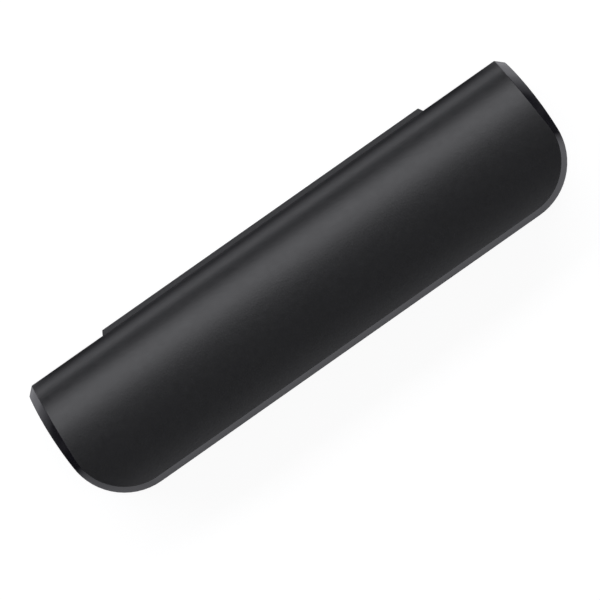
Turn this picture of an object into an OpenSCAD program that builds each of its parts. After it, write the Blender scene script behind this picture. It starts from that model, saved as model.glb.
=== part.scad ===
// Hard travel case for an electric toothbrush: a clamshell with a straight spine,
// rounded front corners, a bevelled rim and a hinge rail along the back.
//
// Frame: X runs along the case, +Y points to the spine, +Z is up. The case is shut
// and lies on its back. The origin is the middle of the footprint on the resting face.
// Inside the modules, y = -d, where d is the distance in from the spine, and z counts
// from the parting line between base and lid.

/* [Case] */
// Wall thickness of both shells
wall = 1.8; // [1.4:0.1:2.2]
// Gap between the two rims when the case is shut
rim_gap = 0.3; // [0.2:0.05:0.4]
// Room from the ends of the handle's nest to the ends of the case
end_room = 14; // [13:0.5:20]
// Least room from the ends of the head pockets to the ends of the case
head_room = 20.7; // [20:0.1:26]
// Room between the trough and the flat underside
floor_room = 0.4; // [0.4:0.1:4]
// Room between the trough and the height of the lid's crest
crest_room = 3.1; // [3:0.1:8]
// Thickness of the partition between the trough and the head pockets
partition = 2.25; // [1.2:0.05:4]

/* [Outline] */
// Radius of the two front corners
corner_r = 24; // [20:1:26]
// Radius of the slightly bowed ends
end_r = 155; // [100:5:200]
// Distance from the spine to the widest point of the bowed ends
end_mid = 25; // [22:0.1:30]
// Distance from the handle's axis to the top of the lid's curve
crest_out = 18.35; // [16:0.05:20]
// Radius of the lid's fall from its crest to the front edge
lid_fall_r = 77; // [60:1:120]
// Distance from the handle's axis to where the flat underside starts
flat_out = 1.35; // [0:0.05:3]
// Distance from the front edge to where the flat underside ends
flat_in = 14.2; // [12:0.2:18]
// Radius of the underside's rise from the flat to the front edge
base_rise_r = 45; // [40:1:120]

/* [Bevel] */
// Width of the polished bevel along the front and round the corners
bevel_w = 2.35; // [1.6:0.05:3]
// Depth of the bevel below the faces
bevel_depth = 2.8; // [2:0.1:3.2]
// Setback of the face from the end of the case, at the spine
bevel_spine = 4.6; // [3.6:0.1:5.4]

/* [Hinge] */
// Length of the hinge rail where it meets the lid
rail_l = 146; // [120:2:160]
// Slope of the rail's ends, over the distance that it stands out
rail_end_slope = 1; // [0:0.1:2]
// Distance that the rail stands out behind the spine
rail_out = 1.8; // [1.8:0.1:2.4]
// Diameter of the hinge pin
pin_d = 1; // [0.8:0.1:1.2]
// Radial clearance of the pin in its knuckles
pin_play = 0.04; // [0.02:0.01:0.08]
// Wall of the base's knuckles round the pin
knuckle_wall = 0.6; // [0.5:0.05:0.7]
// Number of knuckles on the base's leaf
knuckle_n = 5; // [3:1:7]
// Length of each knuckle
knuckle_l = 11; // [8:1:12]
// Distance from the rail's ends to the first knuckle
knuckle_end = 17; // [14:1:20]
// Free gap beside and round each knuckle
knuckle_gap = 0.15; // [0.1:0.05:0.3]
// Thickness of the rail's and the leaf's flange
flange_t = 2.15; // [2.1:0.05:2.4]
// Rise of the rail's sloping face from its back edge to the lid
rail_rise = 1.4; // [1:0.1:1.5]
// Angle at which the open lid meets its stop
open_angle = 113; // [100:1:125]
// Flange left on each side of the screw heads
flange_edge = 0.33; // [0.3:0.01:1]
// Distance from the spine to the back edge of the leaf
leaf_back = 1.2; // [1:0.1:1.6]
// Length of the plugs at the ends of the hinge bore
cap_l = 2.5; // [2:0.5:4]
// Step from the radius of the bore to that of the plugs
cap_step = 0.3; // [0.2:0.05:0.4]

/* [Contents] */
// Diameter of the toothbrush handle
handle_d = 28; // [26:0.5:28]
// Length of the handle's body
handle_l = 172; // [160:1:176]
// Length of the drive shaft beyond the body
shaft_l = 16; // [12:1:18]
// Width of the slot for the shaft
shaft_w = 12; // [8:1:16]
// Depth of the handle's axis below the parting line
handle_drop = 3.6; // [3.4:0.1:4]
// Free length at each end of the handle's body
handle_slack = 2; // [1:0.5:3]
// Length of a brush head
head_l = 80; // [70:1:82]
// Width of a brush head
head_w = 12.8; // [11:0.2:13.4]
// Diameter of the pegs for the brush heads
peg_d = 4; // [3:0.2:5]
// Length of those pegs with their flanges
peg_l = 12; // [8:1:16]
// Diameter of the flanges of the pegs
peg_flange_d = 9; // [7:0.5:9.5]
// Thickness of those flanges
peg_flange_t = 1.2; // [0.8:0.1:2]
// Free space round a brush head
head_slack = 0.4; // [0.2:0.1:0.6]
// Depth of the head pockets below the parting line
head_deep = 12; // [9:0.5:14]
// Height of the head pockets in the lid
head_high = 8; // [6:0.5:10]
// Gap between the two head pockets
head_apart = 17; // [14:1:20]
// Corner radius of the head pockets
pocket_r = 3; // [2:0.5:4]
// Depth of the finger hollow between the head pockets
finger_deep = 9; // [6:0.5:10]

/* [Tray and liner] */
// Thickness of the tray and the liner
skin = 1.2; // [0.8:0.1:1.4]
// Distance of their decks from the parting line
deck_drop = 0.6; // [0.4:0.1:1]
// Clearance between the inserts and the shells
fit_gap = 0.25; // [0.15:0.05:0.4]
// Height of the locating lip above the parting line
lip_h = 1.2; // [0.8:0.1:1.6]
// Thickness of the locating lip
lip_t = 1; // [0.8:0.1:1.2]
// Clearance between the lip and the lid's liner
lip_gap = 0.4; // [0.3:0.1:0.6]
// Distance from the spine to the ends of the lip
lip_from = 10.2; // [8:0.2:12]
// Thickness of the soft pads under the handle
pad_t = 1; // [0.8:0.1:1.2]
// Length of each soft pad
pad_l = 16; // [10:1:24]
// Distance of the pads from the middle of the handle
pad_at = 58; // [40:1:66]
// Distance of the pads' long edges from the height of the handle's axis
pad_edge = 8; // [7:0.5:10]
// Length of the soft saddle under the shaft
neck_l = 8; // [6:0.5:10]
// Thickness of that saddle
neck_t = 2.4; // [1.6:0.2:3]

/* [Fasteners and magnets] */
// Shank diameter of the screws
screw_d = 1.6; // [1.4:0.1:2]
// Head diameter of the screws
screw_head_d = 3; // [2.8:0.1:3.2]
// Height of the screw heads
screw_head_h = 0.9; // [0.7:0.1:1]
// Length of the screws under the head
screw_l = 4; // [3.5:0.5:5]
// Radial clearance round the shanks
screw_play = 0.05; // [0.03:0.01:0.08]
// Diameter of the screw bosses
boss_d = 4; // [3.6:0.1:4.2]
// Distance of the screws of tray and liner from the ends of the case
deck_screw_in = 7.6; // [7.4:0.1:8]
// Distance from the spine to the first of them
deck_screw_d1 = 13; // [10:0.5:14]
// Distance from the spine to the second
deck_screw_d2 = 29; // [26:0.5:32]
// Screws along each hinge flange
flange_screw_n = 4; // [2:1:6]
// Diameter of the magnets
magnet_d = 6; // [5:0.5:7]
// Thickness of the magnets
magnet_t = 2; // [1.5:0.5:3]
// Radial clearance round the magnets
magnet_play = 0.1; // [0.05:0.05:0.2]
// Room between the magnets' pockets and the shell
magnet_room = 1.4; // [1:0.1:3]
// Direction of the magnets from the middle of the front corners' curve
magnet_turn = 39.5; // [35:0.5:50]

/* [Finger scoops] */
// Width of the scoop in the front wall
thumb_w = 26; // [18:1:34]
// Height of that scoop below the parting line
thumb_h = 6; // [4:0.5:8]
// Depth of that scoop
thumb_deep = 1; // [0.6:0.1:1.2]

/* [Hidden] */
$fn = 48;

eps = 0.01;
// Overshoot of cutting bodies
over = 5;
// Steps along the curve from the spine, and round each front corner
curve_steps = 24;
corner_steps = 16;

rim_z = rim_gap / 2;

// Hinge
knuckle_r = pin_d / 2 + pin_play + knuckle_wall;
window_r = knuckle_r + knuckle_gap;
barrel_r = rail_out - 2 * knuckle_gap;
rail_top = rim_z + flange_t;
rail_face_z = rail_top - rail_rise;
sweep_r = norm([rail_out, rail_face_z]) + knuckle_gap;
rail_x = rail_l / 2;
knuckle_pitch = (rail_l - 2 * knuckle_end - knuckle_l) / (knuckle_n - 1);
cap_x = rail_x - rail_end_slope / 2;
cap_r = pin_d / 2 + pin_play + cap_step;
pin_l = 2 * (cap_x - cap_l - pin_play);
flange_d = sweep_r + screw_head_d + 4 * screw_play + 2 * flange_edge;
flange_screw_pitch = rail_l / flange_screw_n;
flange_screw_d = (sweep_r + flange_d) / 2;

// Handle trough and head pockets, from the hinge's flanges to the front
trough_r = handle_d / 2 + pad_t;
trough_l = handle_l + 2 * handle_slack;
nest_l = trough_l + shaft_l;
trough_x0 = -nest_l / 2;
trough_x1 = trough_x0 + trough_l;
handle_mid = flange_d + fit_gap + skin + trough_r;
pocket_w = head_w + 2 * head_slack;
pocket_l = head_l + 2 * head_slack;
pocket_mid = handle_mid + trough_r + partition + pocket_w / 2;
pocket_x = head_apart / 2 + pocket_l / 2;
finger_w = head_apart - 4 * skin;

// Case round its contents
case_l = max(nest_l + 2 * end_room, 2 * pocket_l + head_apart + 2 * head_room);
case_d = pocket_mid + pocket_w / 2 + skin + 2 * fit_gap + wall;
base_h = handle_drop + trough_r + skin + floor_room + wall;
lid_h = trough_r - handle_drop + skin + crest_room + wall;
lid_crest = handle_mid + crest_out;
base_crest = handle_mid + flat_out;
flat_end = case_d - flat_in;
spine_y = (case_d - rail_out) / 2;
liner_edge = wall + fit_gap + lip_t + lip_gap;
lid_pocket_w = 2 * (case_d - liner_edge - skin - pocket_mid);
rail_edge = lid_crest * (1 - sqrt(1 - pow((rail_top + knuckle_gap) / lid_h, 2)));

// Outline of the case in plan
end_cx = case_l / 2 - end_r;
corner_d = case_d - corner_r;
corner_x = end_cx + sqrt(pow(end_r - corner_r, 2) - pow(corner_d - end_mid, 2));
corner_start = asin((corner_d - end_mid) / (end_r - corner_r));

// Straight edge of the face, from the spine to where it touches the corner's curve
face_r = corner_r - bevel_w;
face_x = case_l / 2 - bevel_spine;
face_start = atan2(-corner_d, face_x - corner_x)
    + acos(face_r / norm([face_x - corner_x, corner_d]));
face_end_d = corner_d + face_r * sin(face_start);
face_end_x = corner_x + face_r * cos(face_start);

// Screws and magnets
deck_screw_x = case_l / 2 - deck_screw_in;
deck_screw_ds = [deck_screw_d1, deck_screw_d2];
magnet_r = corner_r - wall - fit_gap - magnet_room - skin - magnet_d / 2;
magnet_x = corner_x + magnet_r * cos(magnet_turn);
magnet_mid = corner_d + magnet_r * sin(magnet_turn);

// Height of a face above the parting line, at distance d from the spine
function face_z(d, crest, flat, h, r) =
    d < crest ? h * sqrt(max(0, 1 - pow(1 - d / crest, 2)))
    : d < flat ? h
    : h - pow(d - flat, 2) / (2 * r);

// Unit normal [d, z] of that face
function unit(v) = v / norm(v);
function face_n(d, crest, flat, h, r) =
    d < crest ? unit([-h * (1 - d / crest), crest * sqrt(max(0, 1 - pow(1 - d / crest, 2)))])
    : d < flat ? [0, 1]
    : unit([(d - flat) / r, 1]);

// Half length of the case at distance d from the spine, inset by t
function outline_x(d, t) =
    d < corner_d + (corner_r - t) * sin(corner_start)
    ? end_cx + sqrt(pow(end_r - t, 2) - pow(d - end_mid, 2))
    : corner_x + sqrt(max(0, pow(corner_r - t, 2) - pow(d - corner_d, 2)));

// Distances from the spine of the stations along the straight edge of the face
function station_ds(crest) =
    let (last = crest < face_end_d ? 90 : acos(1 - face_end_d / crest))
    concat([for (i = [0:curve_steps]) crest * (1 - cos(last * i / curve_steps))],
           crest < face_end_d ? [face_end_d] : []);

function corner_angles() =
    [for (i = [1:corner_steps]) face_start + (90 - face_start) * i / corner_steps];

// Edge of the face and outer edge of the bevel, as [x, d, z], inset by t
function face_edge(crest, flat, h, r, t) = concat(
    [for (d = station_ds(crest))
        let (p = [d, face_z(d, crest, flat, h, r)] - t * face_n(d, crest, flat, h, r))
        [face_x + (face_end_x - face_x) * d / face_end_d - t, p[0], p[1]]],
    [for (a = corner_angles())
        let (d = corner_d + face_r * sin(a))
        [corner_x + (face_r - t) * cos(a), corner_d + (face_r - t) * sin(a),
         face_z(d, crest, flat, h, r) - t]]);

function bevel_edge(crest, flat, h, r, t) = concat(
    [for (d = station_ds(crest))
        let (n = face_n(d, crest, flat, h, r),
             p = [d, face_z(d, crest, flat, h, r)] - (t + bevel_depth) * n)
        [outline_x(p[0], t), p[0], p[1]]],
    [for (a = corner_angles())
        let (d = corner_d + face_r * sin(a),
             d_out = corner_d + (corner_r - t) * sin(a))
        [outline_x(d_out, t), d_out,
         face_z(d, crest, flat, h, r) - t - bevel_depth]]);

// Closed form of one half of the case, inset by t and reaching below the parting line
module half_form(crest, flat, h, r, t) {
    foot = -1 - t;
    inner = face_edge(crest, flat, h, r, t);
    outer = bevel_edge(crest, flat, h, r, t);
    n = len(inner);
    side = [for (i = [0:n - 1]) each [
        [inner[i][0], -inner[i][1], inner[i][2]],
        [outer[i][0], -outer[i][1], outer[i][2]],
        [outer[i][0], -outer[i][1], foot]]];
    spine_foot = [inner[0][0], -inner[0][1], foot];
    right = concat(side, [spine_foot]);
    left = [for (p = right) [-p[0], p[1], p[2]]];
    m = len(right);
    last = 3 * (n - 1);
    strips = [for (i = [0:n - 2]) let (a = 3 * i, b = 3 * (i + 1)) each [
        [a, b + m, a + m], [a, b, b + m],
        [a, b + 1, b], [a, a + 1, b + 1],
        [a + 1, b + 2, b + 1], [a + 1, a + 2, b + 2],
        [a + m, b + m, b + 1 + m], [a + m, b + 1 + m, a + 1 + m],
        [a + 1 + m, b + 1 + m, b + 2 + m], [a + 1 + m, b + 2 + m, a + 2 + m]]];
    spine = [[0, 2 * m - 1, m - 1], [0, m, 2 * m - 1],
             [0, 2, 1], [0, m - 1, 2],
             [m, 1 + m, 2 + m], [m, 2 + m, 2 * m - 1]];
    front = [[last, last + m + 1, last + m], [last, last + 1, last + m + 1],
             [last + 1, last + m + 2, last + m + 1], [last + 1, last + 2, last + m + 2]];
    base = [concat([2 * m - 1], [for (i = [0:n - 1]) 3 * i + 2 + m],
                   [for (i = [n - 1:-1:0]) 3 * i + 2], [m - 1])];
    polyhedron(concat(right, left), concat(strips, spine, front, base), convexity = 4);
}

module lid_form(t = 0) {
    half_form(lid_crest, lid_crest, lid_h, lid_fall_r, t);
}

module base_form(t = 0) {
    mirror([0, 0, 1]) half_form(base_crest, flat_end, base_h, base_rise_r, t);
}

// Everything in these modules is drawn from the middle of the spine's parting line
module at_spine() {
    translate([0, spine_y, base_h]) children();
}

// Plan outline of the case at the parting line, inset by t, cut off at start_d
module plan_outline(t, start_d) {
    end_ds = [for (i = [0:curve_steps]) start_d + (corner_d - start_d) * i / curve_steps];
    turn = (90 - corner_start) / corner_steps;
    pts = concat([for (d = end_ds) [outline_x(d, t), -d]],
                 [for (i = [1:corner_steps]) let (a = corner_start + turn * i)
                     [corner_x + (corner_r - t) * cos(a),
                      -corner_d - (corner_r - t) * sin(a)]]);
    n = len(pts);
    polygon(concat(pts, [for (i = [n - 1:-1:0]) [-pts[i][0], pts[i][1]]]));
}

// Cylinder along X, from x0 to x1, centred at distance d and height z
module rod(r, x0, x1, d = 0, z = 0) {
    translate([x0, -d, z]) rotate([0, 90, 0]) cylinder(r = r, h = x1 - x0);
}

// Bar along X with a constant outline given as [d, z] points
module bar(pts, x0, x1) {
    translate([x0, 0, 0]) rotate([90, 0, 90])
        linear_extrude(height = x1 - x0) polygon([for (p = pts) [-p[0], p[1]]]);
}

// Pocket with rounded corners, open upwards, from z0 to z1
module pocket(l, w, r, z0, z1) {
    translate([0, 0, z0]) linear_extrude(height = z1 - z0) {
        square([l - 2 * r, w], center = true);
        square([l, w - 2 * r], center = true);
        for (sx = [-1, 1], sy = [-1, 1])
            translate([sx * (l / 2 - r), sy * (w / 2 - r)]) circle(r = r);
    }
}

module both_sides() {
    for (s = [-1, 1]) scale([s, 1, 1]) children();
}

// Space for the handle, with t added all round
module handle_space(t = 0) {
    rod(trough_r + t, trough_x0 - t, trough_x1 + t, handle_mid, -handle_drop);
    rod(shaft_w / 2 + t, trough_x1, trough_x0 + nest_l + t, handle_mid, -handle_drop);
}

// Spaces of width w for the two brush heads, with t added all round
module head_spaces(w, z0, z1, t = 0) {
    for (s = [-1, 1]) translate([s * pocket_x, -pocket_mid, 0])
        pocket(pocket_l + 2 * t, w + 2 * t, pocket_r + t, z0 - t, z1);
}

// Hollow between the pockets, where a finger lifts the handle, with t added all round
module finger_space(z1, t = 0) {
    d0 = handle_mid;
    d1 = pocket_mid + pocket_w / 2 - pocket_r;
    translate([0, -(d0 + d1) / 2, 0])
        pocket(finger_w + 2 * t, d1 - d0 + 2 * t, pocket_r + t, -finger_deep - t, z1);
}

module deck_screw_places() {
    for (s = [-1, 1], d = deck_screw_ds) translate([s * deck_screw_x, -d, 0]) children();
}

module flange_screw_places() {
    for (i = [0:flange_screw_n - 1])
        translate([(i - (flange_screw_n - 1) / 2) * flange_screw_pitch, -flange_screw_d, 0])
            children();
}

module magnet_places() {
    for (s = [-1, 1]) translate([s * magnet_x, -magnet_mid, 0]) children();
}

// Countersunk screw with its head at z = 0, pointing down
module screw() {
    translate([0, 0, -screw_l]) cylinder(d = screw_d, h = screw_l);
    translate([0, 0, -screw_head_h]) cylinder(d1 = screw_d, d2 = screw_head_d, h = screw_head_h);
}

module screw_hole(depth) {
    translate([0, 0, -depth]) cylinder(d = screw_d + 2 * screw_play, h = depth + eps);
}

module screw_seat() {
    translate([0, 0, -screw_head_h - screw_play])
        cylinder(d1 = screw_d + 2 * screw_play, d2 = screw_head_d + 4 * screw_play,
                 h = screw_head_h + 2 * screw_play);
}

// Base ---------------------------------------------------------------

module base_shell() {
    color("#1c1c1e") at_spine() difference() {
        union() {
            difference() {
                base_form();
                base_form(wall);
            }
            intersection() {
                base_form(wall / 2);
                union() {
                    deck_screw_places() translate([0, 0, -base_h])
                        cylinder(d = boss_d, h = base_h - deck_drop - skin - eps);
                    flange_screw_places() translate([0, 0, -base_h])
                        cylinder(d = boss_d, h = base_h - rim_z - flange_t);
                }
            }
        }
        translate([-case_l, -case_d - over, -rim_z]) cube([2 * case_l, case_d + 2 * over, over]);
        hinge_notch();
        deck_screw_places() translate([0, 0, -deck_drop]) screw_hole(screw_l + 1);
        flange_screw_places() translate([0, 0, -rim_z]) screw_hole(screw_l + 1);
        thumb_scoop();
    }
}

// Shallow hollow in the front wall, for the thumb that lifts the lid
module thumb_scoop() {
    r = (pow(thumb_w / 2, 2) + pow(thumb_deep, 2)) / (2 * thumb_deep);
    translate([0, -case_d - r + thumb_deep, -thumb_h])
        cylinder(r = r, h = thumb_h + over, $fn = 96);
}

// Notch in the spine of both halves, for the rail and the leaf
module hinge_notch() {
    half = rail_x + knuckle_gap;
    z = rail_top + knuckle_gap;
    translate([-half, -2 * wall, -z]) cube([2 * half, 2 * wall + over, 2 * z]);
}

module base_tray() {
    color("#252527") at_spine() difference() {
        union() {
            translate([0, 0, -deck_drop - skin]) linear_extrude(height = skin)
                plan_outline(wall + fit_gap, flange_d + fit_gap);
            translate([0, 0, -deck_drop - eps]) linear_extrude(height = deck_drop + lip_h)
                difference() {
                    plan_outline(wall + fit_gap, lip_from);
                    plan_outline(wall + fit_gap + lip_t, flange_d);
                }
            intersection() {
                handle_space(skin);
                translate([-case_l, -case_d, -base_h])
                    cube([2 * case_l, case_d, base_h - deck_drop - eps]);
            }
            head_spaces(pocket_w, -head_deep, -deck_drop - eps, skin);
            finger_space(-deck_drop - eps, skin);
            magnet_places() translate([0, 0, -deck_drop - magnet_t - skin])
                cylinder(d = magnet_d + 2 * skin, h = magnet_t + skin - eps);
        }
        handle_space();
        head_spaces(pocket_w, -head_deep, over);
        finger_space(over);
        deck_screw_places() translate([0, 0, -deck_drop]) {
            screw_hole(over);
            screw_seat();
        }
        magnet_places() translate([0, 0, -deck_drop - magnet_t])
            cylinder(d = magnet_d + 2 * magnet_play, h = over);
    }
}

module tray_screws() {
    color("#8d9095") at_spine()
        deck_screw_places() translate([0, 0, -deck_drop]) screw();
}

module base_magnets() {
    color("#c9cccf") at_spine()
        magnet_places() translate([0, 0, -deck_drop - magnet_t]) cylinder(d = magnet_d, h = magnet_t);
}

// Leaf screwed to the base, with the knuckles that the pin runs in
module hinge_leaf() {
    z1 = -rim_z;
    z0 = z1 - flange_t;
    // The arms' back faces, which the rail's lower edge meets when the lid is fully open
    stop_gap = rim_z - knuckle_gap / 2;
    stop_n = [-sin(open_angle), cos(open_angle)];
    stop_u = [-cos(open_angle), -sin(open_angle)];
    stop_in = stop_gap * stop_n;
    stop_out = (z0 - stop_in[1]) / stop_u[1] * stop_u + stop_in;
    color("#202022") at_spine() difference() {
        union() {
            difference() {
                bar([[leaf_back, z0], [flange_d, z0], [flange_d, z1], [leaf_back, z1]],
                    -rail_x + rail_end_slope, rail_x - rail_end_slope);
                rod(sweep_r, -rail_l, rail_l);
            }
            knuckles() {
                rod(knuckle_r, 0, knuckle_l);
                bar([stop_in, stop_out, [flange_d / 2, z0], [flange_d / 2, z1], [0, z1]],
                    0, knuckle_l);
            }
        }
        rod(pin_d / 2 + pin_play, -rail_l, rail_l);
        flange_screw_places() translate([0, 0, z1]) {
            screw_hole(over);
            screw_seat();
        }
    }
}

// Places the base's knuckles, evenly along the rail
module knuckles() {
    for (i = [0:knuckle_n - 1])
        translate([(i - (knuckle_n - 1) / 2) * knuckle_pitch - knuckle_l / 2, 0, 0]) children();
}

module leaf_screws() {
    color("#8d9095") at_spine()
        flange_screw_places() translate([0, 0, -rim_z]) screw();
}

// Soft pads that carry the handle in the trough
module cradle_pads() {
    color("#3a3a3d") at_spine()
        for (s = [-1, 1]) intersection() {
            x0 = (trough_x0 + trough_x1) / 2 + s * pad_at - pad_l / 2;
            difference() {
                rod(trough_r, x0, x0 + pad_l, handle_mid, -handle_drop);
                rod(trough_r - pad_t, x0 - over, x0 + pad_l + over, handle_mid, -handle_drop);
            }
            translate([-case_l, -case_d, -base_h - handle_drop - pad_edge])
                cube([2 * case_l, case_d, base_h]);
        }
}

// Soft saddle under the drive shaft
module neck_pad() {
    x1 = trough_x0 + nest_l - fit_gap;
    color("#3a3a3d") at_spine() difference() {
        rod(shaft_w / 2, x1 - neck_l, x1, handle_mid, -handle_drop);
        rod(shaft_w / 2 - neck_t, x1 - neck_l - over, x1 + over, handle_mid, -handle_drop);
        translate([0, -case_d, -handle_drop - pad_t]) cube([case_l, case_d, shaft_w]);
    }
}

// Pegs that the sockets of the two brush heads slide onto, each on a round flange
module head_pegs() {
    x1 = pocket_x + pocket_l / 2 - fit_gap;
    z = -head_deep + head_slack + head_w / 2;
    color("#2c2c2f") at_spine() both_sides() {
        rod(peg_flange_d / 2, x1 - peg_flange_t, x1, pocket_mid, z);
        rod(peg_d / 2, x1 - peg_l, x1 - peg_flange_t / 2, pocket_mid, z);
    }
}

// Lid ----------------------------------------------------------------

module lid_shell() {
    color("#1c1c1e") at_spine() difference() {
        union() {
            difference() {
                lid_form();
                lid_form(wall);
            }
            intersection() {
                lid_form(wall / 2);
                union() {
                    deck_screw_places() translate([0, 0, deck_drop + skin + eps])
                        cylinder(d = boss_d, h = lid_h);
                    flange_screw_places() translate([0, 0, rim_z + flange_t])
                        cylinder(d = boss_d, h = lid_h);
                }
            }
        }
        translate([-case_l, -case_d - over, rim_z - over])
            cube([2 * case_l, case_d + 2 * over, over]);
        hinge_notch();
        deck_screw_places() translate([0, 0, deck_drop]) mirror([0, 0, 1]) screw_hole(screw_l + 1);
        flange_screw_places() translate([0, 0, rim_z]) mirror([0, 0, 1]) screw_hole(screw_l + 1);
    }
}

module lid_liner() {
    color("#252527") at_spine() difference() {
        union() {
            translate([0, 0, deck_drop]) linear_extrude(height = skin)
                plan_outline(liner_edge, flange_d + fit_gap);
            intersection() {
                handle_space(skin);
                translate([-case_l, -case_d, deck_drop + eps])
                    cube([2 * case_l, case_d, lid_h]);
            }
            mirror([0, 0, 1]) head_spaces(lid_pocket_w, -head_high, -deck_drop - eps, skin);
            magnet_places() translate([0, 0, deck_drop + eps])
                cylinder(d = magnet_d + 2 * skin, h = magnet_t + skin);
        }
        handle_space();
        mirror([0, 0, 1]) head_spaces(lid_pocket_w, -head_high, over);
        deck_screw_places() translate([0, 0, deck_drop]) mirror([0, 0, 1]) {
            screw_hole(over);
            screw_seat();
        }
        magnet_places() translate([0, 0, deck_drop + magnet_t - over])
            cylinder(d = magnet_d + 2 * magnet_play, h = over);
    }
}

module liner_screws() {
    color("#8d9095") at_spine()
        deck_screw_places() translate([0, 0, deck_drop]) mirror([0, 0, 1]) screw();
}

module lid_magnets() {
    color("#c9cccf") at_spine()
        magnet_places() translate([0, 0, deck_drop]) cylinder(d = magnet_d, h = magnet_t);
}

// Soft pads that hold the handle from above
module saddle_pads() {
    color("#3a3a3d") at_spine()
        for (s = [-1, 1]) intersection() {
            x0 = (trough_x0 + trough_x1) / 2 + s * pad_at - pad_l / 2;
            difference() {
                rod(trough_r, x0, x0 + pad_l, handle_mid, -handle_drop);
                rod(trough_r - pad_t, x0 - over, x0 + pad_l + over, handle_mid, -handle_drop);
            }
            translate([-case_l, -case_d, pad_edge - handle_drop])
                cube([2 * case_l, case_d, base_h]);
        }
}

// Rail screwed to the lid: its roof covers the knuckles, and its ends hold the pin
module hinge_rail() {
    z0 = rim_z;
    color("#232325") at_spine() difference() {
        intersection() {
            union() {
                bar([[-rail_out, z0], [-rail_out, rail_face_z], [rail_edge, rail_top],
                     [flange_d, rail_top], [flange_d, z0]], -rail_x, rail_x);
                rod(barrel_r, -rail_x, rail_x);
            }
            translate([0, 0, -over]) linear_extrude(height = 2 * over)
                polygon([[-rail_x, 0], [-rail_x + rail_end_slope, rail_out],
                         [rail_x - rail_end_slope, rail_out], [rail_x, 0],
                         [rail_x, -flange_d], [-rail_x, -flange_d]]);
        }
        rod(pin_d / 2 + pin_play, -pin_l / 2, pin_l / 2);
        knuckles() {
            rod(window_r, -knuckle_gap, knuckle_l + knuckle_gap);
            translate([-knuckle_gap, -flange_d, -over])
                cube([knuckle_l + 2 * knuckle_gap, 2 * flange_d, over + z0]);
        }
        both_sides() rod(cap_r + pin_play, pin_l / 2, rail_x + over);
        flange_screw_places() translate([0, 0, z0]) mirror([0, 0, 1]) {
            screw_hole(over);
            screw_seat();
        }
    }
}

module rail_screws() {
    color("#8d9095") at_spine()
        flange_screw_places() translate([0, 0, rim_z]) mirror([0, 0, 1]) screw();
}

module hinge_pin() {
    color("#b9bcc0") at_spine() rod(pin_d / 2, -pin_l / 2, pin_l / 2);
}

// Plugs that close the rail's bore at both ends
module hinge_end_caps() {
    color("#232325") at_spine() both_sides()
        rod(cap_r, pin_l / 2 + pin_play, cap_x);
}

base_shell();
base_tray();
tray_screws();
base_magnets();
hinge_leaf();
leaf_screws();
cradle_pads();
neck_pad();
head_pegs();
lid_shell();
lid_liner();
liner_screws();
lid_magnets();
hinge_rail();
rail_screws();
hinge_pin();
hinge_end_caps();
saddle_pads();
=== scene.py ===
import math

import bmesh
import bpy
from mathutils import Matrix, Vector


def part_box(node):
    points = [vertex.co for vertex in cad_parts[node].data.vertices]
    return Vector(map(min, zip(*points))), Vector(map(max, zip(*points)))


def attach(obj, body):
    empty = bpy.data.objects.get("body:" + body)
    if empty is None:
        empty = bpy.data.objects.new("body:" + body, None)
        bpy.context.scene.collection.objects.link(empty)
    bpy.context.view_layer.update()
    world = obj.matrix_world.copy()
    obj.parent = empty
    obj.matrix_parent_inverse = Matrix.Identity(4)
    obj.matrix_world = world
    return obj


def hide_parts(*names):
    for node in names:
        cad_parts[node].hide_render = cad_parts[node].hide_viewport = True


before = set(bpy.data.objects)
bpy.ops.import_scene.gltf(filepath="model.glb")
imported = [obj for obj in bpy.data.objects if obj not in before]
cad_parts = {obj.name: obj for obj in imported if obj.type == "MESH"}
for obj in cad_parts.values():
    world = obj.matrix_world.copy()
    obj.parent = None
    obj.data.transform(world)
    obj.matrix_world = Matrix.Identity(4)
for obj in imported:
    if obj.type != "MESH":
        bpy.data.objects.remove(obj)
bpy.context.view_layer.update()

scene = bpy.context.scene
scene.view_settings.view_transform = "Standard"


# Camera ------------------------------------------------------------------
# The case is seen straight down from far off, turned 35 degrees in the picture,
# so a very long lens hangs above it.

mm = 0.001
# One pixel of the 600 by 600 picture, at the height where it is measured.
picture_width = 600
pixel = 0.3719 * mm
measured_height = 30 * mm
picture_turn = math.radians(35.09)
lens_mm, sensor_mm = 400, 36
eye_height = measured_height + picture_width * pixel * lens_mm / sensor_mm
camera_data = bpy.data.cameras.new("camera")
camera_data.lens = lens_mm
camera_data.sensor_width = sensor_mm
camera_data.clip_end = 200
camera = bpy.data.objects.new("camera", camera_data)
scene.collection.objects.link(camera)
# The point of the case that stands in the middle of the picture.
aim_x, aim_y = -5.11 * mm, -3.88 * mm
camera.location = (aim_x, aim_y, eye_height)
camera.rotation_euler = (0, 0, -picture_turn)
scene.camera = camera


# Studio ------------------------------------------------------------------
# A pale floor under two long softboxes, with a low strip of light behind the spine
# and a dim ceiling, so that the curved lid shows two soft lines of light.


def add(tree, kind, inputs=None, **settings):
    """Adds one shader node. An input given as a socket is linked, and others are set."""
    made = tree.nodes.new(kind)
    for name, value in settings.items():
        setattr(made, name, value)
    for name, value in (inputs or {}).items():
        if isinstance(value, bpy.types.NodeSocket):
            tree.links.new(value, made.inputs[name])
        else:
            made.inputs[name].default_value = value
    return made


def linear(hex_colour):
    """An sRGB hex colour as linear red, green, blue and alpha."""
    channels = [int(hex_colour[i:i + 2], 16) / 255 for i in (1, 3, 5)]
    return [c / 12.92 if c <= 0.04045 else ((c + 0.055) / 1.055) ** 2.4 for c in channels] + [1]


def material(name):
    """An empty node material and its tree."""
    made = bpy.data.materials.new(name)
    made.use_nodes = True
    made.node_tree.nodes.clear()
    return made, made.node_tree


world = bpy.data.worlds.new("studio")
world.use_nodes = True
tree = world.node_tree
tree.nodes.clear()
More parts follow.
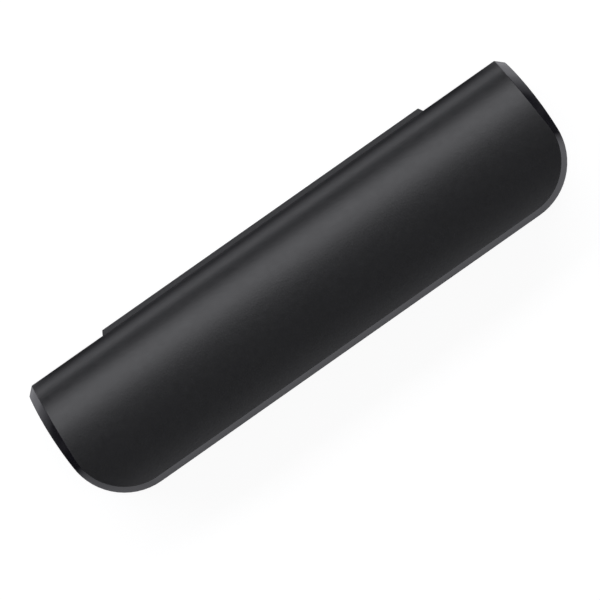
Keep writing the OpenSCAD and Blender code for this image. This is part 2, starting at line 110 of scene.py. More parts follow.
# The walls are nearly black, and the ceiling grows lighter overhead.
direction = add(tree, "ShaderNodeTexCoord").outputs["Generated"]
rise = add(tree, "ShaderNodeSeparateXYZ", {"Vector": direction})
ceiling = add(tree, "ShaderNodeMapRange", {
    "Value": rise.outputs["Z"], "From Min": 0.35, "From Max": 0.8,
    "To Min": 0.016, "To Max": 0.12})
ray = add(tree, "ShaderNodeLightPath")
seen = add(tree, "ShaderNodeMix", {
    0: ray.outputs["Is Camera Ray"], 2: ceiling.outputs["Result"], 3: 1.0})
sky = add(tree, "ShaderNodeBackground", {"Color": seen.outputs["Result"], "Strength": 1.0})
add(tree, "ShaderNodeOutputWorld", {"Surface": sky.outputs["Background"]})
scene.world = world

# White paint, with painted shade that only mirrors see: in reflections the floor is painted
# darker close to the long sides, and in a dark wedge beyond each end, in place of a black card.
# A noise's scale is its number of patches in a metre: 1000 / 25 makes them 25 mm wide.
floor_with_painted_shade, tree = material("white_floor_paint")
place = add(tree, "ShaderNodeTexCoord").outputs["Object"]
patches = add(tree, "ShaderNodeTexNoise", {
    "Vector": place, "Scale": 1000 / 25.0, "Detail": 2.0})
paint = add(tree, "ShaderNodeMix", {
    0: patches.outputs["Fac"], 6: linear("#f2f2f2"), 7: linear("#f6f6f6")},
    data_type="RGBA")
lit = add(tree, "ShaderNodeBsdfDiffuse", {"Color": paint.outputs[2]})
axes = add(tree, "ShaderNodeSeparateXYZ", {"Vector": place})
across = add(tree, "ShaderNodeMath", {0: axes.outputs["Y"]}, operation="ABSOLUTE")
along = add(tree, "ShaderNodeMath", {0: axes.outputs["X"]}, operation="ABSOLUTE")
slant = add(tree, "ShaderNodeMath", {
    0: axes.outputs["Y"], 1: along.outputs[0]}, operation="DIVIDE")


def floor_shade(tree, measure, steps):
    """How bright the floor is over a measure, given in steps of (measure, brightness)."""
    low, high = steps[0][0], steps[-1][0]
    fitted = add(tree, "ShaderNodeMapRange", {
        "Value": measure, "From Min": low, "From Max": high})
    made = add(tree, "ShaderNodeValToRGB", {"Fac": fitted.outputs["Result"]})
    marks = made.color_ramp.elements
    for mark, step in zip(marks, (steps[0], steps[-1])):
        mark.color = (step[1], step[1], step[1], 1)
    for at, grey in steps[1:-1]:
        marks.new((at - low) / (high - low)).color = (grey, grey, grey, 1)
    return made.outputs["Color"]


# Painted shade in the floor's reflection beside the long sides, by the distance from the case's
# long axis in metres.
painted_shade_beside = floor_shade(tree, across.outputs[0], (
    (0.028, 0.005), (0.046, 0.01), (0.058, 0.04), (0.088, 0.14), (0.148, 0.39),
    (0.228, 0.78), (0.328, 1.0)))
# Painted light and shade in the floor's reflection beyond the ends, by the distance from the
# middle in metres. A painted dark wedge stands in for a black card; its two edges run
# outwards from the middle, so each is a slant: Y over X.
painted_light_beyond_ends = floor_shade(tree, along.outputs[0], (
    (0.0, 0.72), (0.125, 0.74), (0.15, 0.90), (0.175, 1.0), (0.2, 1.0), (0.25, 0.70),
    (0.46, 0.46), (1.1, 0.30), (1.2, 0.28)))
# The painted dark wedge behind the case, and the one in front of it.
painted_dark_wedge_back = floor_shade(tree, slant.outputs[0], ((0.12, 0.0), (0.34, 1.0)))
painted_dark_wedge_front = floor_shade(tree, slant.outputs[0], (
    (-0.4, 0.98), (-0.25, 0.98), (-0.17, 0.72), (-0.07, 0.04)))
painted_light_behind_wedge = add(tree, "ShaderNodeMath", {
    0: painted_light_beyond_ends, 1: painted_dark_wedge_back}, operation="MULTIPLY")
# Painted light: in reflections the floor is made a little brighter towards the right-hand side.
painted_right_brightening = add(tree, "ShaderNodeMapRange", {
    "Value": axes.outputs["X"], "From Min": -0.3, "From Max": 0.3,
    "To Min": 0.88, "To Max": 1.08})
painted_front_brightening = floor_shade(tree, axes.outputs["X"], (
    (-0.34, 0.26), (-0.305, 0.40), (-0.275, 0.58), (-0.2, 0.70), (0.2, 0.80),
    (0.29, 0.86), (0.31, 0.98), (0.34, 1.0)))
# Painted light behind and in front of the dark wedges, brighter to the right.
painted_back_reflection = add(tree, "ShaderNodeMath", {
    0: painted_light_behind_wedge.outputs[0], 1: painted_right_brightening.outputs["Result"]}, operation="MULTIPLY")
painted_front_reflection = add(tree, "ShaderNodeMath", {
    0: painted_dark_wedge_front, 1: painted_front_brightening}, operation="MULTIPLY")
painted_end_reflection = add(tree, "ShaderNodeMath", {
    0: painted_back_reflection.outputs[0], 1: painted_front_reflection.outputs[0]}, operation="MAXIMUM")
# The painted dark wedges begin at the case's ends and stop where the floor lies behind the
# case.
past_ends = add(tree, "ShaderNodeMapRange", {
    "Value": along.outputs[0], "From Min": 0.100, "From Max": 0.125})
not_behind = add(tree, "ShaderNodeMapRange", {
    "Value": slant.outputs[0], "From Min": 0.6, "From Max": 1.0, "To Min": 1.0, "To Max": 0.0})
at_ends = add(tree, "ShaderNodeMath", {
    0: past_ends.outputs["Result"], 1: not_behind.outputs["Result"]}, operation="MULTIPLY")
# The floor's painted light and shade, seen only in reflections.
painted_floor_reflection = add(tree, "ShaderNodeMix", {
    0: at_ends.outputs[0], 2: painted_shade_beside, 3: painted_end_reflection.outputs[0]})
# The camera sees the floor white all over, apart from the share that takes shadows.
full_glow, shadow_share = 1.24, 0.27
ray = add(tree, "ShaderNodeLightPath")
to_eye = add(tree, "ShaderNodeMath", {
    0: painted_floor_reflection.outputs[0], 1: ray.outputs["Is Camera Ray"]}, operation="MAXIMUM")
glow = add(tree, "ShaderNodeMath", {0: to_eye.outputs[0], 1: full_glow}, operation="MULTIPLY")
# Painted reflection tint: in reflections the floor's glow is a touch bluer than the camera sees
# it.
painted_cool_reflection_tint = add(tree, "ShaderNodeMix", {
    0: ray.outputs["Is Camera Ray"], 6: linear("#f9f9ff"), 7: linear("#ffffff")},
    data_type="RGBA")
white = add(tree, "ShaderNodeEmission", {
    "Color": painted_cool_reflection_tint.outputs[2], "Strength": glow.outputs[0]})
mirrored = add(tree, "ShaderNodeMath", {
    0: ray.outputs["Is Glossy Ray"], 1: ray.outputs["Is Transmission Ray"]},
    operation="MAXIMUM")
looked_at = add(tree, "ShaderNodeMath", {
    0: ray.outputs["Is Camera Ray"], 1: mirrored.outputs[0]}, operation="MAXIMUM")
plain_share = add(tree, "ShaderNodeMath", {
    0: ray.outputs["Is Camera Ray"], 1: -shadow_share, 2: 1.0}, operation="MULTIPLY_ADD")
share = add(tree, "ShaderNodeMath", {
    0: looked_at.outputs[0], 1: plain_share.outputs[0]}, operation="MULTIPLY")
surface = add(tree, "ShaderNodeMixShader", {
    0: share.outputs[0], 1: lit.outputs["BSDF"], 2: white.outputs["Emission"]})
add(tree, "ShaderNodeOutputMaterial", {"Surface": surface.outputs["Shader"]})

# It reaches 60 m each way and lies just under the case, so that the two never flicker.
floor_reach, under_case = 60, 0.1 * mm
bm = bmesh.new()
bmesh.ops.create_grid(bm, x_segments=1, y_segments=1, size=floor_reach)
bmesh.ops.translate(bm, verts=bm.verts, vec=(0, 0, -under_case))
floor_mesh = bpy.data.meshes.new("floor")
bm.to_mesh(floor_mesh)
bm.free()
floor = bpy.data.objects.new("floor", floor_mesh)
floor.data.materials.append(floor_with_painted_shade)
scene.collection.objects.link(floor)

# Each lamp's name, place, tilt about X in degrees, length, width and power. Their light
# is slightly cool.
lamp_tint = (0.985, 0.99, 1.03)
softboxes = (
    ("back_softbox", (0, 0.573, 0.700), -39.3, 1.8, 0.36, 5.3),
    ("front_softbox", (0, -0.503, 0.805), 32.0, 1.8, 0.38, 2.3),
    ("low_strip", (0, 0.80, 0.132), -90.0, 1.8, 0.17, 1.82),
)
for name, spot, tilt, length, width, power in softboxes:
    lamp_data = bpy.data.lights.new(name, "AREA")
    lamp_data.shape = "RECTANGLE"
    lamp_data.size, lamp_data.size_y = length, width
    lamp_data.energy = power
    lamp_data.color = lamp_tint
    lamp = bpy.data.objects.new(name, lamp_data)
    lamp.location = spot
    lamp.rotation_euler = (math.radians(tilt), 0, 0)
    lamp.visible_camera = False
    scene.collection.objects.link(lamp)


# Base and lid shells -----------------------------------------------------
# Two halves injection moulded in black ABS and hinged at the spine. Their broad faces
# have a fine spark-eroded grain, and the bevel round their ends and front is polished.

# ABS from a spark-eroded mould: soft, wide lights without a hard mirror line.
face_abs, tree = material("abs_fine_grained")
place = add(tree, "ShaderNodeTexCoord").outputs["Object"]
# The real grain of about 0.1 mm doesn't show at this size, so it is drawn at 0.8 mm.
grain_mm = 0.8
grain = add(tree, "ShaderNodeTexNoise", {
    "Vector": place, "Scale": 1000 / grain_mm, "Detail": 2.0, "Roughness": 0.6})
flow = add(tree, "ShaderNodeTexNoise", {
    "Vector": place, "Scale": 1000 / 28.0, "Detail": 3.0})
tone = add(tree, "ShaderNodeMix", {
    0: flow.outputs["Fac"], 6: linear("#1d1d1f"), 7: linear("#212123")}, data_type="RGBA")
relief = add(tree, "ShaderNodeBump", {
    "Height": grain.outputs["Fac"], "Strength": 1.0, "Distance": 0.026 * mm})
# The spark leaves the grain a little uneven, so the sheen is mottled over 1 to 4 mm.
mottle = add(tree, "ShaderNodeTexNoise", {
    "Vector": place, "Scale": 1000 / 2.4, "Detail": 2.0, "Roughness": 0.9})
gloss = add(tree, "ShaderNodeMapRange", {
    "Value": mottle.outputs["Fac"], "To Min": 0.25, "To Max": 0.40})
shader = add(tree, "ShaderNodeBsdfPrincipled", {
    "Base Color": tone.outputs[2], "Roughness": gloss.outputs["Result"], "IOR": 1.53,
    "Normal": relief.outputs["Normal"]})
add(tree, "ShaderNodeOutputMaterial", {"Surface": shader.outputs["BSDF"]})

# The same ABS from a polished part of the mould: near black, with clear reflections.
band_abs, tree = material("abs_polished_band")
place = add(tree, "ShaderNodeTexCoord").outputs["Object"]
wave = add(tree, "ShaderNodeTexNoise", {"Vector": place, "Scale": 1000 / 9.0, "Detail": 2.0})
rub = add(tree, "ShaderNodeTexNoise", {"Vector": place, "Scale": 1000 / 2.2, "Detail": 4.0})
tone = add(tree, "ShaderNodeMix", {
    0: rub.outputs["Fac"], 6: linear("#17161c"), 7: linear("#1c1b21")}, data_type="RGBA")
ripple = add(tree, "ShaderNodeBump", {
    "Height": wave.outputs["Fac"], "Strength": 1.0, "Distance": 0.008 * mm})
gloss = add(tree, "ShaderNodeMapRange", {
    "Value": rub.outputs["Fac"], "To Min": 0.10, "To Max": 0.16})
shader = add(tree, "ShaderNodeBsdfPrincipled", {
    "Base Color": tone.outputs[2], "Roughness": gloss.outputs["Result"], "IOR": 1.53,
    "Coat Weight": 0.5, "Coat Roughness": 0.08, "Normal": ripple.outputs["Normal"]})
add(tree, "ShaderNodeOutputMaterial", {"Surface": shader.outputs["BSDF"]})


def merged_copy(node):
    """A merged copy of a CAD node's mesh, with its flat facets joined."""
    weld, flat = 0.002 * mm, math.radians(0.3)
    bm = bmesh.new()
    bm.from_mesh(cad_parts[node].data)
    bmesh.ops.remove_doubles(bm, verts=bm.verts, dist=weld)
    bmesh.ops.dissolve_limit(bm, angle_limit=flat, use_dissolve_boundaries=False,
                             verts=bm.verts, edges=bm.edges)
    return bm


def finish_piece(bm, name, body, replaced, materials, crease=30):
    """Faces that meet at more than the crease, in degrees, keep a sharp edge.
    """
    mesh = bpy.data.meshes.new(name)
    bm.to_mesh(mesh)
    bm.free()
    if "custom_normal" in mesh.attributes:
        mesh.attributes.remove(mesh.attributes["custom_normal"])
    for finish in materials:
        mesh.materials.append(finish)
    mesh.shade_smooth()
    mesh.set_sharp_from_angle(angle=math.radians(crease))
    piece = bpy.data.objects.new(name, mesh)
    scene.collection.objects.link(piece)
    even = piece.modifiers.new("even_shading", "WEIGHTED_NORMAL")
    even.keep_sharp = True
    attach(piece, body)
    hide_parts(replaced)
    return piece


def soften(bm, edges, radius, segments=2):
    """Rounds the given edges, as a mould does."""
    return bmesh.ops.bevel(bm, geom=edges, offset=radius, offset_type="OFFSET",
                           segments=segments, profile=0.5, affect="EDGES",
                           clamp_overlap=False, material=-1)


def sharp_edges(bm, angle, longer_than=0.0):
    """Outer edges at which the faces meet at more than the angle, in degrees."""
    return [e for e in bm.edges
            if e.is_manifold and e.is_convex and e.calc_face_angle() > math.radians(angle)
            and e.calc_length() > longer_than]


# A face counts as square to an axis while its normal leans less than this along it.
square = 0.05


def is_band(face, up):
    """Whether a face belongs to the slanted bevel round the ends and the front."""
    n = face.normal
    if abs(n.x) > square:
        return n.z * up > square
    # Along the front it faces forwards more than the crest of the broad face does.
    return n.y < -0.45 and n.z * up > 0.25


face_round, wall_round = 0.15 * mm, 0.2 * mm
for node, body, up in (("base_shell", "base", -1), ("lid_shell", "lid", 1)):
    bm = merged_copy(node)
    for face in bm.faces:
        face.material_index = 1 if is_band(face, up) else 0
    # The band's border on the broad face is crisper than its border on the wall.
    borders = [e for e in bm.edges if e.is_manifold and e.is_convex
               and e.link_faces[0].material_index != e.link_faces[1].material_index]
    by_wall = [e for e in borders if any(abs(f.normal.z) < square for f in e.link_faces)]
    by_face = [e for e in borders if e not in by_wall]
    soften(bm, by_face, face_round)
    by_wall = [e for e in by_wall if e.is_valid]
    soften(bm, by_wall, wall_round)
    finish_piece(bm, node.replace("shell", "case"), body, node,
                 (face_abs, band_abs))


# Tray and liner -----------------------------------------------------------
# The inserts that hold the toothbrush are thermoformed from black polystyrene sheet and
# screwed to the shells. Every mouth has the rounded lip that the sheet takes as it is
# drawn into the mould.

# Polystyrene sheet: satin, a little cloudy, with a faint orange peel of about 1 mm.
insert_styrene, tree = material("polystyrene_thermoformed")
place = add(tree, "ShaderNodeTexCoord").outputs["Object"]
peel = add(tree, "ShaderNodeTexNoise", {"Vector": place, "Scale": 1000 / 1.1, "Detail": 3.0})
cloud = add(tree, "ShaderNodeTexNoise", {
    "Vector": place, "Scale": 1000 / 17.0, "Detail": 4.0})
tone = add(tree, "ShaderNodeMix", {
    0: cloud.outputs["Fac"], 6: linear("#242427"), 7: linear("#2c2c2f")}, data_type="RGBA")
relief = add(tree, "ShaderNodeBump", {
    "Height": peel.outputs["Fac"], "Strength": 1.0, "Distance": 0.012 * mm})
gloss = add(tree, "ShaderNodeMapRange", {
    "Value": cloud.outputs["Fac"], "To Min": 0.40, "To Max": 0.50})
shader = add(tree, "ShaderNodeBsdfPrincipled", {
    "Base Color": tone.outputs[2], "Roughness": gloss.outputs["Result"], "IOR": 1.59,
    "Normal": relief.outputs["Normal"]})
add(tree, "ShaderNodeOutputMaterial", {"Surface": shader.outputs["BSDF"]})

lip_round = 0.4 * mm


def mouth_edges(bm, deck):
    """Outer edges in the plane of the deck that are long enough for the lip's radius."""
    flush = 0.02 * mm
    return [e for e in sharp_edges(bm, angle=20, longer_than=lip_round + 0.05 * mm)
            if all(abs(v.co.z - deck) < flush for v in e.verts)]


for node, body, deck in (("base_tray", "base", 21.4 * mm), ("lid_liner", "lid", 22.6 * mm)):
    bm = merged_copy(node)
    soften(bm, mouth_edges(bm, deck), lip_round, segments=3)
    finish_piece(bm, node.replace("tray", "insert").replace("liner", "insert"), body, node,
                 (insert_styrene,))


# Handle pads ---------------------------------------------------------------
# Four strips of black silicone rubber are bonded into the handle's trough, two below
# and two above. Each has rounded ribs across it, so that the handle doesn't slide.

# Silicone rubber: dull, a little lighter than the styrene, with a dusty sheen.
pad_rubber, tree = material("silicone_rubber")
place = add(tree, "ShaderNodeTexCoord").outputs["Object"]
skin = add(tree, "ShaderNodeTexNoise", {
    "Vector": place, "Scale": 1000 / 0.5, "Detail": 3.0})
dust = add(tree, "ShaderNodeTexNoise", {
    "Vector": place, "Scale": 1000 / 2.5, "Detail": 6.0, "Roughness": 0.7})
tone = add(tree, "ShaderNodeMix", {
    0: dust.outputs["Fac"], 6: linear("#37373b"), 7: linear("#47474b")}, data_type="RGBA")
relief = add(tree, "ShaderNodeBump", {
    "Height": skin.outputs["Fac"], "Strength": 1.0, "Distance": 0.01 * mm})
shader = add(tree, "ShaderNodeBsdfPrincipled", {
    "Base Color": tone.outputs[2], "Roughness": 0.62, "IOR": 1.41, "Sheen Weight": 0.2,
    "Sheen Roughness": 0.45, "Normal": relief.outputs["Normal"]})
add(tree, "ShaderNodeOutputMaterial", {"Surface": shader.outputs["BSDF"]})


def once(items):
    """The items in their order, each one once."""
    return list(dict.fromkeys(items))


def half_sleeve(bm, x0, x1, outer, inner, web, ribs, centre, below):
    """Adds half a sleeve along X about centre (y, z).

    The web is the inner radius between the ribs, and inner is the radius at their tops.
    """
    strip = bmesh.ops.create_grid(
        bm, x_segments=2 * ribs + 1, y_segments=1, size=0.5)["verts"]
    # The flat strip becomes the sleeve's section: x along the case, y for the radius.
    bmesh.ops.scale(bm, vec=(x1 - x0, outer - web, 1), verts=strip)
    bmesh.ops.translate(
        bm, vec=((x0 + x1) / 2, centre[0] + (outer + web) / 2, centre[1]), verts=strip)
    squares = once(f for v in strip for f in v.link_faces)
    inside = [e for f in squares for e in f.edges
              if all(abs(v.co.y - centre[0] - web) < 0.0001 * mm for v in e.verts)]
    inside.sort(key=lambda e: e.verts[0].co.x + e.verts[1].co.x)
    # Every second piece of the inner edge is drawn inwards to make a rib, which narrows
    # to its top.
    drawn = bmesh.ops.extrude_edge_only(bm, edges=inside[1::2])["geom"]
    crest = [v for v in drawn if isinstance(v, bmesh.types.BMVert)]
    bmesh.ops.translate(bm, vec=(0, inner - web, 0), verts=crest)
    rib_top = 0.55
    for edge in once(e for v in crest for e in v.link_edges
                     if all(w in crest for w in e.verts)):
        middle = (edge.verts[0].co + edge.verts[1].co) / 2
        bmesh.ops.scale(bm, vec=(rib_top, 1, 1), verts=edge.verts,
                        space=Matrix.Translation(-middle))
    section = once(f for v in strip + crest for f in v.link_faces)
    section += (once(e for f in section for e in f.edges)
                + once(v for f in section for v in f.verts))
    bmesh.ops.spin(bm, geom=section, cent=(0, *centre), axis=(1, 0, 0), dvec=(0, 0, 0),
                   angle=-math.pi if below else math.pi, steps=36, use_merge=False,
                   use_duplicate=False)


def trim_flat(bm, cut_z, below):
    """Cuts everything beyond the height and closes the cut."""
    normal = (0, 0, 1 if below else -1)
    cut = bmesh.ops.bisect_plane(bm, geom=bm.verts[:] + bm.edges[:] + bm.faces[:],
                                 plane_co=(0, 0, cut_z), plane_no=normal,
                                 clear_outer=True)["geom_cut"]
    bmesh.ops.holes_fill(bm, edges=[e for e in cut if isinstance(e, bmesh.types.BMEdge)])
    bmesh.ops.recalc_face_normals(bm, faces=bm.faces)


pad_l, pad_r, pad_ribs = 16.0 * mm, 15.0 * mm, 7
pad_thick, pad_thin = 1.0 * mm, 0.55 * mm
for node, body, below in (("cradle_pads", "base", True), ("saddle_pads", "lid", False)):
    low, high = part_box(node)
    # The pads' arc has its middle on the handle's axis, below the parting line.
    axis_y = (low[1] + high[1]) / 2
    axis_z = low[2] + pad_r if below else high[2] - pad_r
    bm = bmesh.new()
    for x0 in (low[0], high[0] - pad_l):
        half_sleeve(bm, x0, x0 + pad_l, pad_r, pad_r - pad_thick, pad_r - pad_thin,
                    pad_ribs, (axis_y, axis_z), below)
    trim_flat(bm, high[2] if below else low[2], below)
    piece = finish_piece(bm, node.replace("pads", "rubbers"), body, node,
                         (pad_rubber,), crease=50)

# The shaft's saddle is a thicker half sleeve of the same rubber.
low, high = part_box("neck_pad")
saddle_outer, saddle_inner, saddle_web, saddle_ribs = 6.0 * mm, 3.6 * mm, 4.0 * mm, 3
saddle_y = (low[1] + high[1]) / 2
saddle_z = low[2] + saddle_outer
bm = bmesh.new()
half_sleeve(bm, low[0], high[0], saddle_outer, saddle_inner, saddle_web, saddle_ribs,
            (saddle_y, saddle_z), below=True)
trim_flat(bm, high[2], below=True)
piece = finish_piece(bm, "neck_rubber", "base", "neck_pad", (pad_rubber,),
                     crease=50)


# Pegs for the brush heads ---------------------------------------------------
# Two round pegs moulded in dark acetal, each on a flange at the end of its pocket.
# Their free ends are rounded so that a brush head slides on.

# Acetal: waxy and smooth, with faint flow lines along the part.
peg_acetal, tree = material("acetal_moulded")
place = add(tree, "ShaderNodeTexCoord").outputs["Object"]
stretch = add(tree, "ShaderNodeMapping", {
    "Vector": place, "Scale": (1000 / 12.0, 1000 / 0.9, 1000 / 0.9)})
lines = add(tree, "ShaderNodeTexNoise", {
    "Vector": stretch.outputs["Vector"], "Scale": 1.0, "Detail": 3.0})
tone = add(tree, "ShaderNodeMix", {
    0: lines.outputs["Fac"], 6: linear("#28282b"), 7: linear("#303033")}, data_type="RGBA")
relief = add(tree, "ShaderNodeBump", {
    "Height": lines.outputs["Fac"], "Strength": 1.0, "Distance": 0.006 * mm})
gloss = add(tree, "ShaderNodeMapRange", {
    "Value": lines.outputs["Fac"], "To Min": 0.28, "To Max": 0.36})
shader = add(tree, "ShaderNodeBsdfPrincipled", {
    "Base Color": tone.outputs[2], "Roughness": gloss.outputs["Result"], "IOR": 1.48,
    "Normal": relief.outputs["Normal"]})
add(tree, "ShaderNodeOutputMaterial", {"Surface": shader.outputs["BSDF"]})

peg_round = 0.35 * mm
bm = merged_copy("head_pegs")
soften(bm, sharp_edges(bm, angle=60), peg_round, segments=3)
finish_piece(bm, "brush_head_pegs", "base", "head_pegs", (peg_acetal,))


# Hinge rail, leaf, plugs and pin ---------------------------------------------
# The rail on the lid and the leaf on the base are moulded in black acetal and screwed on.
# A drawn steel pin runs through both, and a plug closes the bore at each end.

# Black acetal, a little duller than the pegs, so that the rail matches the grained shells.
hinge_acetal, tree = material("acetal_black_satin")
place = add(tree, "ShaderNodeTexCoord").outputs["Object"]
stretch = add(tree, "ShaderNodeMapping", {
    "Vector": place, "Scale": (1000 / 16.0, 1000 / 1.2, 1000 / 1.2)})
lines = add(tree, "ShaderNodeTexNoise", {
    "Vector": stretch.outputs["Vector"], "Scale": 1.0, "Detail": 4.0})
speck = add(tree, "ShaderNodeTexNoise", {
    "Vector": place, "Scale": 1000 / 0.4, "Detail": 2.0})
tone = add(tree, "ShaderNodeMix", {
    0: lines.outputs["Fac"], 6: linear("#2a2a2c"), 7: linear("#323234")}, data_type="RGBA")
relief = add(tree, "ShaderNodeBump", {
    "Height": speck.outputs["Fac"], "Strength": 1.0, "Distance": 0.005 * mm})
gloss = add(tree, "ShaderNodeMapRange", {
    "Value": lines.outputs["Fac"], "To Min": 0.38, "To Max": 0.44})
shader = add(tree, "ShaderNodeBsdfPrincipled", {
    "Base Color": tone.outputs[2], "Roughness": gloss.outputs["Result"], "IOR": 1.48,
    "Normal": relief.outputs["Normal"]})
add(tree, "ShaderNodeOutputMaterial", {"Surface": shader.outputs["BSDF"]})

# Node, name, body, the radius of its edges, and the shortest edge that is rounded. The
# screw holes' and the knuckles' edges are short and stay sharp.
for node, name, body, radius, shortest in (
        ("hinge_leaf", "leaf_moulding", "base", 0.12 * mm, 0.6 * mm),
        ("hinge_rail", "rail_moulding", "lid", 0.15 * mm, 0.6 * mm),
        ("hinge_end_caps", "bore_plugs", "lid", 0.15 * mm, 0)):
    bm = merged_copy(node)
    soften(bm, sharp_edges(bm, angle=50, longer_than=shortest), radius)
    finish_piece(bm, name, body, node, (hinge_acetal,))

# Drawn wire: bright, with hair-fine lines along the pin.
pin_wire, tree = material("steel_drawn_wire")
place = add(tree, "ShaderNodeTexCoord").outputs["Object"]
stretch = add(tree, "ShaderNodeMapping", {
    "Vector": place, "Scale": (1000 / 8.0, 1000 / 0.1, 1000 / 0.1)})
lines = add(tree, "ShaderNodeTexNoise", {
    "Vector": stretch.outputs["Vector"], "Scale": 1.0, "Detail": 2.0})
tone = add(tree, "ShaderNodeMix", {
    0: lines.outputs["Fac"], 6: linear("#b4b6b9"), 7: linear("#cccdcf")}, data_type="RGBA")
gloss = add(tree, "ShaderNodeMapRange", {
    "Value": lines.outputs["Fac"], "To Min": 0.16, "To Max": 0.30})
relief = add(tree, "ShaderNodeBump", {
    "Height": lines.outputs["Fac"], "Strength": 1.0, "Distance": 0.002 * mm})
shader = add(tree, "ShaderNodeBsdfPrincipled", {
    "Base Color": tone.outputs[2], "Roughness": gloss.outputs["Result"], "Metallic": 1.0,
    "Normal": relief.outputs["Normal"]})
add(tree, "ShaderNodeOutputMaterial", {"Surface": shader.outputs["BSDF"]})
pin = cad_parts["hinge_pin"]
pin.data.materials.clear()
pin.data.materials.append(pin_wire)


# Screws ----------------------------------------------------------------------
# Sixteen countersunk steel screws with a cross recess hold the inserts and the hinge.
# They are cold headed and zinc plated.

# Zinc plate: grey, a little cloudy, with faint blue and straw patches.
zinc_plate, tree = material("steel_zinc_plated")
place = add(tree, "ShaderNodeTexCoord").outputs["Object"]
cloud = add(tree, "ShaderNodeTexNoise", {
    "Vector": place, "Scale": 1000 / 1.3, "Detail": 4.0})
tone = add(tree, "ShaderNodeMix", {
    0: cloud.outputs["Fac"], 6: linear("#a3a8b0"), 7: linear("#bab7ab")}, data_type="RGBA")
pits = add(tree, "ShaderNodeTexNoise", {
    "Vector": place, "Scale": 1000 / 0.25, "Detail": 3.0})
relief = add(tree, "ShaderNodeBump", {
    "Height": pits.outputs["Fac"], "Strength": 1.0, "Distance": 0.004 * mm})
gloss = add(tree, "ShaderNodeMapRange", {
    "Value": cloud.outputs["Fac"], "To Min": 0.26, "To Max": 0.38})
shader = add(tree, "ShaderNodeBsdfPrincipled", {
    "Base Color": tone.outputs[2], "Roughness": gloss.outputs["Result"], "Metallic": 1.0,
    "Normal": relief.outputs["Normal"]})
add(tree, "ShaderNodeOutputMaterial", {"Surface": shader.outputs["BSDF"]})

head_r, shank_r, point_r = 1.5 * mm, 0.8 * mm, 0.55 * mm
# How far below the top the head's edge, its cone, the shank and the point end.
edge_end, cone_end, shank_end, point_end = 0.08 * mm, 0.9 * mm, 3.7 * mm, 4.0 * mm
# Half the width and half the length of the cross, its depth, and the taper to its floor.
arm_w, arm_l, recess, taper = 0.17 * mm, 0.85 * mm, 0.6 * mm, 0.62


def model_screw(bm):
    """Models one screw at the origin, with the top of its head at z = 0."""
    # Nine squares, less the four at the corners, are the cross.
    bmesh.ops.create_grid(bm, x_segments=3, y_segments=3, size=1.5)
    corners = [f for f in bm.faces if min(abs(c) for c in f.calc_center_median()[:2]) > 0.5]
    bmesh.ops.delete(bm, geom=corners, context="FACES")
    for v in bm.verts:
        x, y = (math.copysign(arm_l if abs(c) > 1 else arm_w, c) for c in v.co[:2])
        v.co = (x, y, 0)
    cross = bm.faces[:]
    mouth = [e for e in bm.edges if e.is_boundary]
    rim = bmesh.ops.create_circle(bm, cap_ends=False, segments=36, radius=head_r)["verts"]
    ring = once(e for v in rim for e in v.link_edges)
    bmesh.ops.triangle_fill(bm, edges=mouth + ring, normal=(0, 0, 1))
    # The recess tapers to its floor.
    sunk = bmesh.ops.extrude_face_region(bm, geom=cross)["geom"]
    bmesh.ops.delete(bm, geom=cross, context="FACES")
    floor_verts = [v for v in sunk if isinstance(v, bmesh.types.BMVert)]
    bmesh.ops.translate(bm, vec=(0, 0, -recess), verts=floor_verts)
    bmesh.ops.scale(bm, vec=(taper, taper, 1), verts=floor_verts)
    # The outside grows down from the rim.
    for depth, radius in ((edge_end, head_r), (cone_end, shank_r), (shank_end, shank_r),
                          (point_end, point_r)):
        grown = bmesh.ops.extrude_edge_only(bm, edges=ring)["geom"]
        ring = [e for e in grown if isinstance(e, bmesh.types.BMEdge)]
        for v in once(v for e in ring for v in e.verts):
            flat = v.co.to_2d().normalized() * radius
            v.co = (flat.x, flat.y, -depth)
    bmesh.ops.contextual_create(bm, geom=ring)
    bmesh.ops.recalc_face_normals(bm, faces=bm.faces)


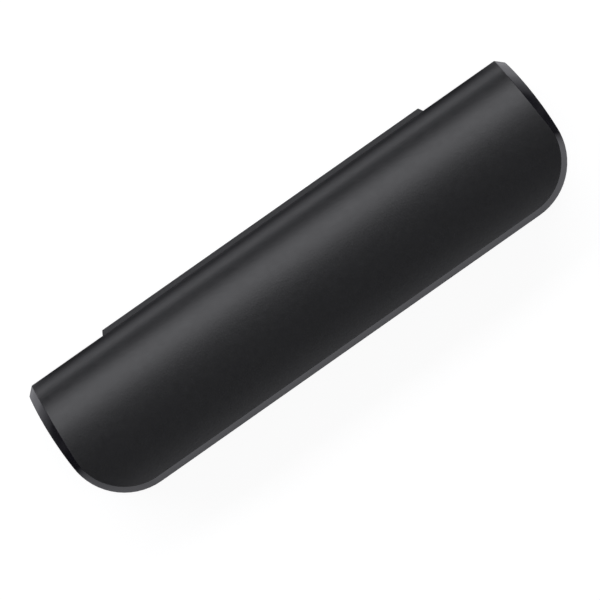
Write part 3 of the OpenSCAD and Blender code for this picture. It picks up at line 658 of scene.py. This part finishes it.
for node, body, up in (("tray_screws", "base", 1), ("liner_screws", "lid", -1),
                       ("leaf_screws", "base", 1), ("rail_screws", "lid", -1)):
    low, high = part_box(node)
    top = high[2] if up > 0 else low[2]
    # Four sit in the corners of an insert, or in a row along the hinge.
    if node in ("tray_screws", "liner_screws"):
        spots = [(x, y) for x in (low[0] + head_r, high[0] - head_r)
                 for y in (low[1] + head_r, high[1] - head_r)]
    else:
        spots = [(low[0] + head_r + i / 3 * (high[0] - low[0] - 2 * head_r),
                  (low[1] + high[1]) / 2) for i in range(4)]
    bm = bmesh.new()
    model_screw(bm)
    model = bm.verts[:] + bm.edges[:] + bm.faces[:]
    for i, (x, y) in enumerate(spots):
        made = bmesh.ops.duplicate(bm, geom=model)["geom"]
        verts = [v for v in made if isinstance(v, bmesh.types.BMVert)]
        # Each was driven home to its own angle.
        driven = Matrix.Rotation(math.radians(13 + 29 * i), 4, "Z")
        flip = Matrix.Rotation(0 if up > 0 else math.pi, 4, "X")
        seat = Matrix.Translation((x, y, top))
        bmesh.ops.transform(bm, matrix=seat @ flip @ driven, verts=verts)
    bmesh.ops.delete(bm, geom=[g for g in model if isinstance(g, bmesh.types.BMVert)],
                     context="VERTS")
    finish_piece(bm, node.replace("screws", "cross_screws"), body, node,
                 (zinc_plate,))


# Magnets ---------------------------------------------------------------------
# Four nickel-plated disc magnets, pressed into cups in the corners of tray and liner.
# Sintered and tumbled, so their edges are rounded.

# Nickel plate: a warm, fairly sharp mirror with fine scuffs.
nickel_plate, tree = material("magnet_nickel_plate")
place = add(tree, "ShaderNodeTexCoord").outputs["Object"]
scuff = add(tree, "ShaderNodeTexNoise", {
    "Vector": place, "Scale": 1000 / 0.6, "Detail": 6.0, "Roughness": 0.7})
tone = add(tree, "ShaderNodeMix", {
    0: scuff.outputs["Fac"], 6: linear("#bdb8ae"), 7: linear("#cfcbc2")}, data_type="RGBA")
relief = add(tree, "ShaderNodeBump", {
    "Height": scuff.outputs["Fac"], "Strength": 1.0, "Distance": 0.003 * mm})
gloss = add(tree, "ShaderNodeMapRange", {
    "Value": scuff.outputs["Fac"], "To Min": 0.14, "To Max": 0.26})
shader = add(tree, "ShaderNodeBsdfPrincipled", {
    "Base Color": tone.outputs[2], "Roughness": gloss.outputs["Result"], "Metallic": 1.0,
    "Normal": relief.outputs["Normal"]})
add(tree, "ShaderNodeOutputMaterial", {"Surface": shader.outputs["BSDF"]})

tumbled_round = 0.25 * mm
for node, body in (("base_magnets", "base"), ("lid_magnets", "lid")):
    bm = merged_copy(node)
    soften(bm, sharp_edges(bm, angle=60), tumbled_round, segments=3)
    finish_piece(bm, node.replace("magnets", "disc_magnets"), body, node,
                 (nickel_plate,))
